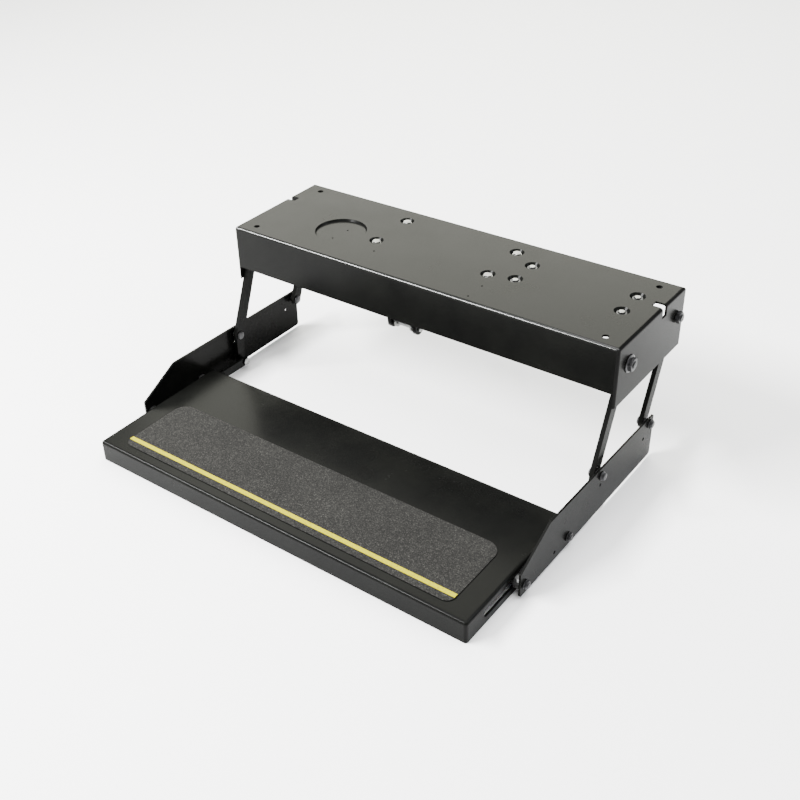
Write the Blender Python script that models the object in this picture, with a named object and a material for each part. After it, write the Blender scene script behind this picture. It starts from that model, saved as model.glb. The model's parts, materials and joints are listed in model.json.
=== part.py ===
"""Powered folding entry step, shown extended.

The frame pan bolts under a floor by its top face. Two front arms and two rear arms hang from it and
carry the side plates, which stay level as the arms swing back and up. The tread slides back along the
side plates at the same time. A gear motor under the pan drives the front arms through a crank and link.

Metres, +X to the step's left-to-right, +Y to the vehicle's middle, +Z up.
The origin is the middle of the frame pan's top face.
"""
import math

import bmesh
import bpy
from mathutils import Matrix

# ---- driving dimensions -------------------------------------------------------------------------
FRAME_WIDTH = 0.62865
FRAME_DEPTH = 0.190
SHEET = 0.003
SIDE_HEIGHT = 0.087
FRONT_HEIGHT = 0.066
REAR_LIP = 0.018
BEND_RADIUS = 0.0045

PIVOT_INSET = 0.033          # front upper pivot behind the pan's front face
PIVOT_SPACING = 0.138
PIVOT_DROP = 0.036           # upper pivots below the top face
ARM_REACH = 0.055            # lower pivot ahead of the upper one
ARM_FALL = 0.1385            # lower pivot below the upper one
ARM_WIDTH = 0.0155
ARM_THICK = 0.00635
ARM_EYE = 0.0088
LEVER_BACK = 0.003
LEVER_DROP = 0.043           # drive lever below the front arms' lower pivot

PLATE_AHEAD = 0.1975         # side plate ahead of its front arm pivot
PLATE_BEHIND = 0.0105        # side plate behind its rear arm pivot
PLATE_BELOW = 0.0555
PLATE_ABOVE = 0.0098
KINK_AHEAD = 0.132
KINK_RISE = 0.0145
NOSE_DROP = 0.0205

SLIDE_DROP = 0.0425          # slide bolts below the lower pivots
SLIDE_FRONT = 0.186
SLIDE_REAR = 0.082
SLIDE_TRAVEL = 0.065

TREAD_WIDTH = 0.611
TREAD_DEPTH = 0.229
TREAD_FLANGE = 0.0312
TREAD_REAR_FLANGE = 0.016
TREAD_BACK = 0.065           # tread's back edge ahead of the front arm pivot
MAT_WIDTH = 0.545
MAT_DEPTH = 0.117
MAT_THICK = 0.0010
MAT_FRONT = 0.016
MAT_CORNER = 0.020
MAT_FRONT_CORNER = 0.012
STRIPE_WIDTH = 0.0066
STRIPE_INSET = 0.010
STRIPE_THICK = 0.0005

TORQUE_TUBE_RADIUS = 0.011
DRIVE_LEVER = 0.054          # torque tube to drive pin, and crank shaft to crank pin
DRIVE_SPACING = 0.086        # torque tube to crank shaft
DRIVE_X = -0.025
LUG_THICK = 0.0065
LUG_RADIUS = 0.0095
LUG_OUTER_WIDTH = 0.049
LUG_CLEARANCE = 0.002        # gear case beside the lugs
LINK_WIDTH = 0.029
LINK_HEIGHT = 0.015
LINK_WALL = 0.003

CASE_OVER = 0.0015           # gear case's radius past the motor can's
MOTOR_GAP = 0.0009           # gear case below the motor bracket
MOTOR_LENGTH = 0.070
GEARCASE_LENGTH = 0.034
CASE_WALL = 0.0025
TRAY = 0.002                 # control module's bracket
GEAR_MODULE = 0.00105
SUN_TEETH = 12
PLANET_TEETH = 12

TREAD_LINK_THICK = 0.004
TREAD_LINK_WIDTH = 0.013
TAB_LAP = 0.0085             # tread bracket on the side flange, short of the rear slide bolt's head
TAB_HALF = 0.008
TAB_THICK = 0.0025
PIN_NEAR = 0.010             # tread link's far pin behind the tread, at the least and the most
PIN_FAR = 0.020
CORNER_RELIEF = 0.012        # gap between the tread's rear flange and its side flanges

# ---- clearances ---------------------------------------------------------------------------------
GAP = 0.0003                 # between faces that touch
ARM_GAP = 0.0010             # arm to side flange
PLATE_GAP = 0.0006           # side plate to the frame pan's outer face
LINK_GAP = 0.0036            # tread link to the side flange, past the tread bracket

# ---- fasteners ----------------------------------------------------------------------------------
PIVOT_BOLT = 0.0050
SLIDE_BOLT = 0.0040
SMALL_BOLT = 0.0030
BOLT_END = 0.0018            # shank past its nut
LOWER_RADIUS = 0.0070
LOWER_HEAD = 0.0034
SLIDE_RADIUS = 0.0066
HOLE_CLEARANCE = 0.0004
MOUNT_HOLE = 0.0045
MOUNT_INSET_X = 0.0285
MOUNT_INSET_Y = 0.0195
DIMPLE_RADIUS = 0.0104
DIMPLE_DEPTH = 0.0042
PRESSING_RADIUS = 0.0385
PRESSING_DEPTH = 0.0032
PRESSING_X = -0.1720
PRESSING_Y = -0.0170
SMALL_HOLE = 0.0015
SMALL_HOLES = ((0.0919, -0.0493), (0.0913, -0.0824), (-0.0903, -0.0452), (-0.1671, -0.0077),
               (-0.1701, -0.0395))
BRACKET_X = (-0.1080, 0.0800)
BRACKET_Y = (-0.0155, 0.0610)
MODULE_X = (0.1180, 0.2735)
MODULE_Y = (-0.0075, 0.0375)
NOTCH_LENGTH = 0.012
NOTCH_REACH = 0.016
NOTCH_FROM_BACK = 0.063

# ---- derived places -----------------------------------------------------------------------------
HALF_FRAME = FRAME_WIDTH / 2
FRAME_FRONT = -FRAME_DEPTH / 2
FRAME_BACK = FRAME_DEPTH / 2
ARM_OUTER = HALF_FRAME - SHEET - ARM_GAP
ARM_INNER = ARM_OUTER - ARM_THICK
PLATE_INNER = HALF_FRAME + PLATE_GAP
PLATE_OUTER = PLATE_INNER + SHEET
TREAD_OUTER = TREAD_WIDTH / 2
TREAD_INNER = TREAD_OUTER - SHEET
TREAD_LINK_OUTER = TREAD_INNER - LINK_GAP
TREAD_LINK_INNER = TREAD_LINK_OUTER - TREAD_LINK_THICK

UPPER_FRONT = (FRAME_FRONT + PIVOT_INSET, -PIVOT_DROP)
UPPER_REAR = (UPPER_FRONT[0] + PIVOT_SPACING, -PIVOT_DROP)
LOWER_FRONT = (UPPER_FRONT[0] - ARM_REACH, -PIVOT_DROP - ARM_FALL)
LOWER_REAR = (LOWER_FRONT[0] + PIVOT_SPACING, LOWER_FRONT[1])
LEVER_PIN = (LOWER_FRONT[0] - LEVER_BACK, LOWER_FRONT[1] - LEVER_DROP)
SLIDE_Z = LOWER_FRONT[1] - SLIDE_DROP
TREAD_TOP = SLIDE_Z + TREAD_FLANGE / 2
TREAD_REAR = LOWER_FRONT[0] - TREAD_BACK
TREAD_NOSE = TREAD_REAR - TREAD_DEPTH
DRIVE_PIN = (UPPER_FRONT[0], UPPER_FRONT[1] - DRIVE_LEVER)
CRANK_SHAFT = (UPPER_FRONT[0] + DRIVE_SPACING, UPPER_FRONT[1])
CRANK_PIN = (CRANK_SHAFT[0], CRANK_SHAFT[1] - DRIVE_LEVER)
MOTOR_RADIUS = PIVOT_DROP - 2 * SHEET - DIMPLE_DEPTH - GAP - MOTOR_GAP - CASE_OVER

# The tread link's far pin: on the slide's line, where the link spans its two pins at both ends of the fold.
STOWED_LEVER_Y = LOWER_FRONT[0] + LEVER_DROP - SLIDE_TRAVEL
STOWED_LEVER_DROP = SLIDE_DROP - LEVER_BACK
TREAD_PIN_Y = ((STOWED_LEVER_Y ** 2 - LEVER_PIN[0] ** 2 + STOWED_LEVER_DROP ** 2
                - (LEVER_PIN[1] - SLIDE_Z) ** 2) / (2 * (STOWED_LEVER_Y - LEVER_PIN[0])))
TREAD_PIN = (min(max(TREAD_PIN_Y, TREAD_REAR + PIN_NEAR), TREAD_REAR + PIN_FAR), SLIDE_Z)

ROUND = 20
ALONG_X = Matrix.Rotation(math.pi / 2, 3, "Y")

# ---- scene and helpers --------------------------------------------------------------------------


def clear_scene():
    for old in list(bpy.data.objects):
        bpy.data.objects.remove(old, do_unlink=True)


def make_collections():
    parts = bpy.data.collections.new("tailgate_step")
    cutters = bpy.data.collections.new("cutters")
    bpy.context.scene.collection.children.link(parts)
    bpy.context.scene.collection.children.link(cutters)
    return parts, cutters


def make_material(name, color, roughness, metallic):
    material = bpy.data.materials.new(name)
    material.use_nodes = True
    shader = material.node_tree.nodes["Principled BSDF"]
    shader.inputs["Base Color"].default_value = (*color, 1.0)
    shader.inputs["Roughness"].default_value = roughness
    shader.inputs["Metallic"].default_value = metallic
    material.diffuse_color = (*color, 1.0)
    return material


clear_scene()
PARTS, CUTTERS = make_collections()
BLACK = (0.018, 0.018, 0.019)
FINISHES = {
    "powder": (BLACK, 0.35, 0.1),
    "zinc": ((0.62, 0.63, 0.62), 0.3, 1.0),
    "black_steel": ((0.03, 0.03, 0.03), 0.4, 0.8),
    "grit": ((0.05, 0.05, 0.048), 0.95, 0.0),
    "yellow": ((0.85, 0.78, 0.05), 0.5, 0.0),
    "cast": ((0.45, 0.46, 0.47), 0.5, 0.9),
    "plastic": ((0.025, 0.025, 0.027), 0.55, 0.0),
    "nylon": ((0.03, 0.03, 0.03), 0.5, 0.0),
}


def new_object(name, mesh, finish, collection=None):
    obj = bpy.data.objects.new(name, mesh)
    (collection or PARTS).objects.link(obj)
    if finish:
        color, roughness, metallic = FINISHES[finish]
        mesh.materials.clear()
        mesh.materials.append(make_material(name + "_finish", color, roughness, metallic))
    return obj


def bm_to_object(bm, name, finish, collection=None):
    bmesh.ops.recalc_face_normals(bm, faces=bm.faces)
    mesh = bpy.data.meshes.new(name)
    bm.to_mesh(mesh)
    bm.free()
    return new_object(name, mesh, finish, collection)


def box(name, low, high, finish=None, collection=None, bevel=0.0, edges=None, segments=2):
    """A box between two corners, with the edges that pass the test rounded."""
    bm = bmesh.new()
    bmesh.ops.create_cube(bm, size=1.0)
    for vert in bm.verts:
        for axis in range(3):
            vert.co[axis] = low[axis] if vert.co[axis] < 0 else high[axis]
    if bevel:
        chosen = [e for e in bm.edges if edges is None or edges(*[v.co for v in e.verts])]
        bmesh.ops.bevel(bm, geom=chosen, offset=bevel, segments=segments, profile=0.5, affect="EDGES")
    return bm_to_object(bm, name, finish, collection or (None if finish else CUTTERS))


def rod(name, start_x, end_x, centre, radius, finish=None, sides=ROUND, end_radius=None):
    """A cylinder or cone along X from start_x to end_x about the point centre = (y, z)."""
    bm = bmesh.new()
    bmesh.ops.create_cone(bm, cap_ends=True, segments=sides, radius1=radius,
                          radius2=radius if end_radius is None else end_radius,
                          depth=end_x - start_x)
    bmesh.ops.rotate(bm, verts=bm.verts, cent=(0, 0, 0), matrix=ALONG_X)
    bmesh.ops.translate(bm, verts=bm.verts, vec=((start_x + end_x) / 2, centre[0], centre[1]))
    return bm_to_object(bm, name, finish, None if finish else CUTTERS)


def post(name, x, y, bottom, top, radius, finish=None, sides=ROUND, top_radius=None):
    """A cylinder or cone along Z."""
    bm = bmesh.new()
    bmesh.ops.create_cone(bm, cap_ends=True, segments=sides, radius1=radius,
                          radius2=radius if top_radius is None else top_radius, depth=top - bottom)
    bmesh.ops.translate(bm, verts=bm.verts, vec=(x, y, (bottom + top) / 2))
    return bm_to_object(bm, name, finish, None if finish else CUTTERS)


def boolean(target, other, operation):
    modifier = target.modifiers.new(operation.lower() + "_" + other.name, "BOOLEAN")
    modifier.operation = operation
    modifier.object = other
    other.hide_render = True
    other.display_type = "WIRE"
    return modifier


def bake(obj):
    """Give the object its evaluated mesh and drop the modifiers and their helpers."""
    helpers = [m.object for m in obj.modifiers if m.type == "BOOLEAN"]
    depsgraph = bpy.context.evaluated_depsgraph_get()
    depsgraph.update()
    mesh = bpy.data.meshes.new_from_object(obj.evaluated_get(depsgraph))
    obj.modifiers.clear()
    obj.data = mesh
    for helper in set(helpers):
        bpy.data.objects.remove(helper, do_unlink=True)
    return obj


def join(target, others):
    for other in others:
        boolean(target, other, "UNION")
    return bake(target)


def cut(target, others):
    for other in others:
        boolean(target, other, "DIFFERENCE")
    return bake(target)


def smooth(obj):
    obj.data.shade_smooth()
    obj.data.set_sharp_from_angle(angle=math.radians(35))
    return obj


def circle_points(centre, radius, sides=ROUND):
    return [(centre[0] + radius * math.cos(2 * math.pi * k / sides),
             centre[1] + radius * math.sin(2 * math.pi * k / sides)) for k in range(sides)]


def slot_points(centre, half_length, radius, sides=6):
    """A slot along the first axis."""
    points = []
    for end in (1, -1):
        for k in range(sides + 1):
            angle = -math.pi / 2 + math.pi * k / sides + (0 if end > 0 else math.pi)
            points.append((centre[0] + end * half_length + radius * math.cos(angle),
                           centre[1] + radius * math.sin(angle)))
    return points


def rounded(corners, steps=4):
    """Corner list of (a, b, radius) as points, each corner replaced by its arc."""
    points = []
    count = len(corners)
    for i, (a, b, radius) in enumerate(corners):
        if not radius:
            points.append((a, b))
            continue
        before, after = corners[i - 1], corners[(i + 1) % count]
        u = unit(before[0] - a, before[1] - b)
        v = unit(after[0] - a, after[1] - b)
        half = math.acos(max(-1.0, min(1.0, u[0] * v[0] + u[1] * v[1]))) / 2
        reach = radius / math.sin(half)
        middle = unit(u[0] + v[0], u[1] + v[1])
        centre = (a + middle[0] * reach, b + middle[1] * reach)
        tangent = radius / math.tan(half)
        first = math.atan2(b + u[1] * tangent - centre[1], a + u[0] * tangent - centre[0])
        last = math.atan2(b + v[1] * tangent - centre[1], a + v[0] * tangent - centre[0])
        turn = (last - first + math.pi) % (2 * math.pi) - math.pi
        for k in range(steps + 1):
            angle = first + turn * k / steps
            points.append((centre[0] + radius * math.cos(angle), centre[1] + radius * math.sin(angle)))
    return points


def unit(a, b):
    length = math.hypot(a, b)
    return a / length, b / length


def flat_plate(name, outlines, low, high, finish, origin=(0.0, 0.0), lying=False):
    """A sheet cut to outlines, the first the edge and the rest holes.

    Standing plates have outlines in (y, z) and lie between x = low and high.
    Lying plates have outlines in (x, y) and lie between z = low and high.
    """
    curve = bpy.data.curves.new(name, "CURVE")
    curve.dimensions = "2D"
    curve.fill_mode = "BOTH"
    curve.extrude = (high - low) / 2
    for outline in outlines:
        spline = curve.splines.new("POLY")
        spline.points.add(len(outline) - 1)
        for point, (a, b) in zip(spline.points, outline):
            point.co = (a - origin[0], b - origin[1], 0, 1)
        spline.use_cyclic_u = True
    shape = bpy.data.objects.new(name + "_curve", curve)
    CUTTERS.objects.link(shape)
    depsgraph = bpy.context.evaluated_depsgraph_get()
    depsgraph.update()
    mesh = bpy.data.meshes.new_from_object(shape.evaluated_get(depsgraph))
    bpy.data.objects.remove(shape, do_unlink=True)
    bm = bmesh.new()
    bm.from_mesh(mesh)
    bmesh.ops.remove_doubles(bm, verts=bm.verts, dist=0.00001)
    bmesh.ops.recalc_face_normals(bm, faces=bm.faces)
    bm.to_mesh(mesh)
    bm.free()
    obj = new_object(name, mesh, finish)
    middle = (low + high) / 2
    if lying:
        obj.location = (origin[0], origin[1], middle)
    else:
        obj.rotation_euler = (math.pi / 2, 0, math.pi / 2)
        obj.location = (middle, origin[0], origin[1])
    return obj


def sides():
    return (("left", -1), ("right", 1))


def span(side, inner, outer):
    """The lower and higher x of a piece between two distances from the middle."""
    return (inner, outer) if side > 0 else (-outer, -inner)


# ---- frame pan ----------------------------------------------------------------------------------


def top_or_upright(a, b):
    """Edges of the pan that are bends: the top's four, and the two front corners."""
    on_top = a.z > -0.001 and b.z > -0.001
    front_corner = a.y < FRAME_FRONT + 0.001 and b.y < FRAME_FRONT + 0.001 and abs(a.x - b.x) < 0.001
    return on_top or front_corner


def make_frame_pan():
    pan = box("frame_pan", (-HALF_FRAME, FRAME_FRONT, -SIDE_HEIGHT), (HALF_FRAME, FRAME_BACK, 0),
              "powder", bevel=BEND_RADIUS, edges=top_or_upright, segments=5)
    inside = HALF_FRAME - SHEET
    deep = -SIDE_HEIGHT - 0.01
    cuts = [box("pan_hollow", (-inside, FRAME_FRONT + SHEET, deep), (inside, FRAME_BACK - SHEET, -SHEET),
                bevel=BEND_RADIUS - SHEET, segments=2)]
    cuts.append(box("front_trim", (-inside, FRAME_FRONT - 0.01, deep),
                    (inside, FRAME_FRONT + 2 * SHEET, -FRONT_HEIGHT)))
    cuts.append(box("rear_trim", (-inside, FRAME_BACK - 2 * SHEET, deep),
                    (inside, FRAME_BACK + 0.01, -REAR_LIP)))
    cut(pan, cuts)
    bumps = [post("bump_%d" % i, x, y, -SHEET - DIMPLE_DEPTH, -SHEET / 2, DIMPLE_RADIUS - 0.001,
                  top_radius=DIMPLE_RADIUS + 0.002) for i, (x, y) in enumerate(dimple_places())]
    bumps.append(post("bump_round", PRESSING_X, PRESSING_Y, -SHEET - PRESSING_DEPTH, -SHEET / 2,
                      PRESSING_RADIUS - 0.001, top_radius=PRESSING_RADIUS + 0.001, sides=40))
    join(pan, bumps)
    cuts = [post("dimple_%d" % i, x, y, -DIMPLE_DEPTH, 0.001, DIMPLE_RADIUS - 0.003,
                 top_radius=DIMPLE_RADIUS + 0.0008) for i, (x, y) in enumerate(dimple_places())]
    cuts += [post("bolt_hole_%d" % i, x, y, -0.02, 0.001, SMALL_BOLT + HOLE_CLEARANCE, sides=12)
             for i, (x, y) in enumerate(dimple_places())]
    cuts.append(post("pressing", PRESSING_X, PRESSING_Y, -PRESSING_DEPTH, 0.001, PRESSING_RADIUS - 0.002,
                     top_radius=PRESSING_RADIUS + 0.0005, sides=40))
    for i, (x, y) in enumerate(mount_places()):
        cuts.append(post("mount_hole_%d" % i, x, y, -0.02, 0.01, MOUNT_HOLE, sides=12))
    for i, (x, y) in enumerate(SMALL_HOLES):
        cuts.append(post("small_hole_%d" % i, x, y, -0.02, 0.01, SMALL_HOLE, sides=8))
    for name, side in sides():
        low, high = span(side, HALF_FRAME - NOTCH_REACH, HALF_FRAME + 0.01)
        notch_y = FRAME_BACK - NOTCH_FROM_BACK - NOTCH_LENGTH / 2
        cuts.append(box("notch_" + name, (low, notch_y, -NOTCH_REACH),
                        (high, notch_y + NOTCH_LENGTH, 0.01)))
        for where, centre in (("front", UPPER_FRONT), ("rear", UPPER_REAR)):
            low, high = span(side, HALF_FRAME - 0.02, HALF_FRAME + 0.02)
            cuts.append(rod("pivot_hole_%s_%s" % (where, name), low, high, centre,
                            PIVOT_BOLT + HOLE_CLEARANCE, sides=16))
    return smooth(cut(pan, cuts))


def mount_places():
    x = HALF_FRAME - MOUNT_INSET_X
    y = FRAME_BACK - MOUNT_INSET_Y
    return [(-x, -y), (x, -y), (-x, y), (x, y)]


def bracket_places():
    return [(x, y) for x in BRACKET_X for y in BRACKET_Y]


def module_places():
    return [(x, y) for x in MODULE_X for y in MODULE_Y]


def dimple_places():
    return bracket_places() + module_places()


# ---- bolts --------------------------------------------------------------------------------------


def make_top_bolt(name, x, y, nut_top, finish, head_radius, head_height):
    """A hex head in its dimple, with a shank down to the nut under the bracket."""
    head = post(name, x, y, -DIMPLE_DEPTH + GAP, -DIMPLE_DEPTH + GAP + head_height, head_radius, finish,
                sides=6)
    shank = post(name + "_shank", x, y, nut_top - 0.006, -DIMPLE_DEPTH + head_height / 2, SMALL_BOLT,
                 sides=12)
    nut = post(name + "_nut", x, y, nut_top - 0.0045, nut_top, 0.0055, sides=6)
    return join(head, [shank, nut])


def make_pivot_bolt(name, side, centre, head_from, head_to, end_from, end_to, finish, radius, nut_radius):
    """A bolt along X: hex nut outside, round head inside, each between two distances from the middle."""
    low, high = span(side, head_from, head_to)
    nut = rod(name, low, high, centre, nut_radius, finish, sides=6)
    low, high = span(side, end_from + 0.001, head_to + BOLT_END)
    shank = rod(name + "_shank", low, high, centre, radius, sides=16)
    low, high = span(side, end_from, end_to)
    head = rod(name + "_head", low, high, centre, nut_radius * 0.95, sides=16)
    return join(nut, [shank, head])


# ---- arms, torque tube and lugs -----------------------------------------------------------------


def arm_outline(upper, lower, lever=None):
    """Flat bar with round ends about its pivots, and a lever beyond the lower one."""
    if not lever:
        return capsule(upper, lower, ARM_WIDTH / 2, ARM_EYE)
    along = unit(lower[0] - upper[0], lower[1] - upper[1])
    across = (-along[1] * ARM_EYE, along[0] * ARM_EYE)
    top = half_ring(upper, along, ARM_WIDTH / 2, -1)
    end = half_ring(lever, unit(lever[0] - lower[0], lever[1] - lower[1]), TREAD_LINK_WIDTH / 2, 1)
    return (top + [(lower[0] + across[0], lower[1] + across[1])] + end
            + [(lower[0] - across[0], lower[1] - across[1])])


def half_ring(centre, along, radius, sign, steps=6):
    """Half a circle past the point, on the side that along points to, or away from it."""
    start = math.atan2(along[0], -along[1])
    points = []
    for k in range(steps + 1):
        angle = start - math.pi * k / steps + (math.pi if sign < 0 else 0)
        points.append((centre[0] + radius * math.cos(angle), centre[1] + radius * math.sin(angle)))
    return points


def capsule(first, second, half, end_half=None, steps=8):
    """A bar with round ends of radius half, and end_half at the second."""
    end_half = end_half or half
    along = math.atan2(second[1] - first[1], second[0] - first[0])
    points = []
    for k in range(steps + 1):
        angle = along + math.pi / 2 + math.pi * k / steps
        points.append((first[0] + half * math.cos(angle), first[1] + half * math.sin(angle)))
    for k in range(steps + 1):
        angle = along - math.pi / 2 + math.pi * k / steps
        points.append((second[0] + end_half * math.cos(angle), second[1] + end_half * math.sin(angle)))
    return points


def make_arms():
    bolt_hole = PIVOT_BOLT + HOLE_CLEARANCE
    pin_hole = SLIDE_BOLT + HOLE_CLEARANCE
    for name, side in sides():
        low, high = span(side, ARM_INNER, ARM_OUTER)
        outline = arm_outline(UPPER_FRONT, LOWER_FRONT, LEVER_PIN)
        holes = [circle_points(UPPER_FRONT, bolt_hole, 16), circle_points(LOWER_FRONT, bolt_hole, 16),
                 circle_points(LEVER_PIN, pin_hole, 12)]
        flat_plate("front_arm_" + name, [outline] + holes, low, high, "powder", UPPER_FRONT)
        outline = arm_outline(UPPER_REAR, LOWER_REAR)
        holes = [circle_points(UPPER_REAR, bolt_hole, 16), circle_points(LOWER_REAR, bolt_hole, 16)]
        flat_plate("rear_arm_" + name, [outline] + holes, low, high, "powder", UPPER_REAR)
        for where, centre in (("front", UPPER_FRONT), ("rear", UPPER_REAR)):
            make_pivot_bolt("upper_bolt_%s_%s" % (where, name), side, centre,
                            HALF_FRAME + GAP, HALF_FRAME + 0.0065, ARM_INNER - 0.004, ARM_INNER - GAP,
                            "black_steel", PIVOT_BOLT, 0.0100)


def make_torque_tube():
    """The tube that ties the front arms, with a pocket at each end for the pivot bolt's head."""
    end = ARM_INNER - GAP
    tube = rod("torque_tube", -end, end, UPPER_FRONT, TORQUE_TUBE_RADIUS, "powder")
    pockets = []
    for name, side in sides():
        low, high = span(side, end - 0.006, end + 0.01)
        pockets.append(rod("tube_pocket_" + name, low, high, UPPER_FRONT, TORQUE_TUBE_RADIUS - 0.001,
                           sides=16))
    return smooth(cut(tube, pockets))


def make_lugs():
    outer = LUG_OUTER_WIDTH / 2
    for name, side in sides():
        edges = sorted((DRIVE_X + side * outer, DRIVE_X + side * (outer - LUG_THICK)))
        outline = capsule(UPPER_FRONT, DRIVE_PIN, TORQUE_TUBE_RADIUS + 0.005, LUG_RADIUS)
        holes = [circle_points(UPPER_FRONT, TORQUE_TUBE_RADIUS + GAP, ROUND),
                 circle_points(DRIVE_PIN, SLIDE_BOLT + GAP, 12)]
        flat_plate("drive_lug_" + name, [outline] + holes, edges[0], edges[1], "powder", UPPER_FRONT)
    pin = rod("drive_pin", DRIVE_X - outer - 0.0025, DRIVE_X + outer + 0.0025, DRIVE_PIN, SLIDE_BOLT,
              "zinc", sides=12)
    return smooth(pin)


# ---- side plates --------------------------------------------------------------------------------


def make_side_plates():
    front = LOWER_FRONT[0] - PLATE_AHEAD
    back = LOWER_REAR[0] + PLATE_BEHIND
    bottom = LOWER_FRONT[1] - PLATE_BELOW
    kink = (LOWER_FRONT[0] - KINK_AHEAD, LOWER_FRONT[1] + KINK_RISE)
    corners = [(front, bottom, 0.003), (back, bottom, 0.004), (back, LOWER_REAR[1] + PLATE_ABOVE, 0.003),
               (kink[0], kink[1], 0.010), (front, LOWER_FRONT[1] - NOSE_DROP, 0.002)]
    outline = rounded(corners)
    bolt_hole = PIVOT_BOLT + HOLE_CLEARANCE
    holes = [circle_points(LOWER_FRONT, bolt_hole, 16), circle_points(LOWER_REAR, bolt_hole, 16)]
    for ahead in (SLIDE_FRONT, SLIDE_REAR):
        holes.append(circle_points((LOWER_FRONT[0] - ahead, SLIDE_Z), SLIDE_BOLT + HOLE_CLEARANCE, 16))
    for y, z in ((LOWER_REAR[0] - 0.017, LOWER_REAR[1] - 0.0155), (LOWER_FRONT[0] - 0.002, SLIDE_Z + 0.029),
                 (LOWER_FRONT[0] - 0.1165, SLIDE_Z - 0.001)):
        holes.append(circle_points((y, z), 0.0024, 10))
    for name, side in sides():
        low, high = span(side, PLATE_INNER, PLATE_OUTER)
        flat_plate("side_plate_" + name, [outline] + holes, low, high, "powder", LOWER_FRONT)
        for where, centre in (("front", LOWER_FRONT), ("rear", LOWER_REAR)):
            make_pivot_bolt("lower_bolt_%s_%s" % (where, name), side, centre,
                            PLATE_OUTER + GAP, PLATE_OUTER + LOWER_HEAD, ARM_INNER - 0.0035,
                            ARM_INNER - GAP, "black_steel", PIVOT_BOLT, LOWER_RADIUS)
        for where, ahead in (("front", SLIDE_FRONT), ("rear", SLIDE_REAR)):
            centre = (LOWER_FRONT[0] - ahead, SLIDE_Z)
            make_pivot_bolt("slide_bolt_%s_%s" % (where, name), side, centre,
                            PLATE_OUTER + GAP, PLATE_OUTER + 0.0038, TREAD_INNER - 0.0040,
                            TREAD_INNER - GAP, "black_steel", SLIDE_BOLT, SLIDE_RADIUS)
            make_slide_bush("slide_bush_%s_%s" % (where, name), side, centre)


def make_slide_bush(name, side, centre):
    """A stepped nylon bush: a wide spacer beside the plate and a neck that runs in the tread's slot."""
    low, high = span(side, TREAD_OUTER + GAP, PLATE_INNER - GAP)
    bush = rod(name, low, high, centre, SLIDE_BOLT + 0.0050, "nylon")
    low, high = span(side, TREAD_INNER + GAP, TREAD_OUTER + 0.002)
    neck = rod(name + "_neck", low, high, centre, SLIDE_BOLT + 0.0016)
    join(bush, [neck])
    bore = rod(name + "_bore", *span(side, TREAD_INNER - 0.01, PLATE_INNER + 0.01), centre,
               SLIDE_BOLT + 0.0003, sides=16)
    return smooth(cut(bush, [bore]))


# ---- tread --------------------------------------------------------------------------------------


def tread_bend(a, b):
    on_top = a.z > TREAD_TOP - 0.001 and b.z > TREAD_TOP - 0.001
    front_corner = a.y < TREAD_NOSE + 0.001 and b.y < TREAD_NOSE + 0.001 and abs(a.x - b.x) < 0.001
    return on_top or front_corner


def make_tread():
    bottom = TREAD_TOP - TREAD_FLANGE
    pan = box("tread_pan", (-TREAD_OUTER, TREAD_NOSE, bottom), (TREAD_OUTER, TREAD_REAR, TREAD_TOP),
              "powder", bevel=BEND_RADIUS, edges=tread_bend, segments=5)
    cut(pan, [box("tread_hollow", (-TREAD_INNER, TREAD_NOSE + SHEET, bottom - 0.01),
                  (TREAD_INNER, TREAD_REAR - SHEET, TREAD_TOP - SHEET), bevel=BEND_RADIUS - SHEET),
              box("tread_rear_trim", (-TREAD_INNER, TREAD_REAR - 2 * SHEET, bottom - 0.01),
                  (TREAD_INNER, TREAD_REAR + 0.01, TREAD_TOP - TREAD_REAR_FLANGE))])
    slots = []
    neck = SLIDE_BOLT + 0.0016
    for name, side in sides():
        low, high = span(side, TREAD_INNER - CORNER_RELIEF, TREAD_INNER)
        slots.append(box("relief_" + name, (low, TREAD_REAR - 2 * SHEET, bottom - 0.01),
                         (high, TREAD_REAR + 0.01, TREAD_TOP - SHEET)))
    for name, side in sides():
        for where, ahead in (("front", SLIDE_FRONT), ("rear", SLIDE_REAR)):
            centre = (LOWER_FRONT[0] - ahead - SLIDE_TRAVEL / 2, SLIDE_Z)
            low, high = span(side, TREAD_INNER - 0.01, TREAD_OUTER + 0.01)
            outline = slot_points(centre, SLIDE_TRAVEL / 2 + 2 * GAP, neck + GAP)
            slots.append(flat_plate("slot_%s_%s" % (where, name), [outline], low, high, None))
    return smooth(cut(pan, slots))


def make_tread_brackets():
    """A tab welded inside each side flange, behind the rear slot, that faces the tread link's rivet."""
    front = TREAD_REAR - TAB_LAP
    back = TREAD_PIN[0] + TAB_HALF
    corners = [(front, SLIDE_Z - TAB_HALF, 0.002), (back, SLIDE_Z - TAB_HALF, 0.007),
               (back, SLIDE_Z + TAB_HALF, 0.007), (front, SLIDE_Z + TAB_HALF, 0.002)]
    hole = circle_points(TREAD_PIN, SLIDE_BOLT + HOLE_CLEARANCE, 12)
    for name, side in sides():
        low, high = span(side, TREAD_INNER - GAP - TAB_THICK, TREAD_INNER - GAP)
        flat_plate("tread_bracket_" + name, [rounded(corners), hole], low, high, "powder")


def make_mat():
    front = TREAD_NOSE + MAT_FRONT
    back = front + MAT_DEPTH
    half = MAT_WIDTH / 2
    corners = [(-half, front, MAT_FRONT_CORNER), (half, front, MAT_FRONT_CORNER), (half, back, MAT_CORNER),
               (-half, back, MAT_CORNER)]
    bottom = TREAD_TOP + GAP
    flat_plate("grip_mat", [rounded(corners, 6)], bottom, bottom + MAT_THICK, "grit", lying=True)
    stripe = front + STRIPE_INSET
    top = bottom + MAT_THICK + GAP
    box("warning_stripe", (-half + 2 * GAP, stripe, top),
        (half - 2 * GAP, stripe + STRIPE_WIDTH, top + STRIPE_THICK), "yellow")


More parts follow.
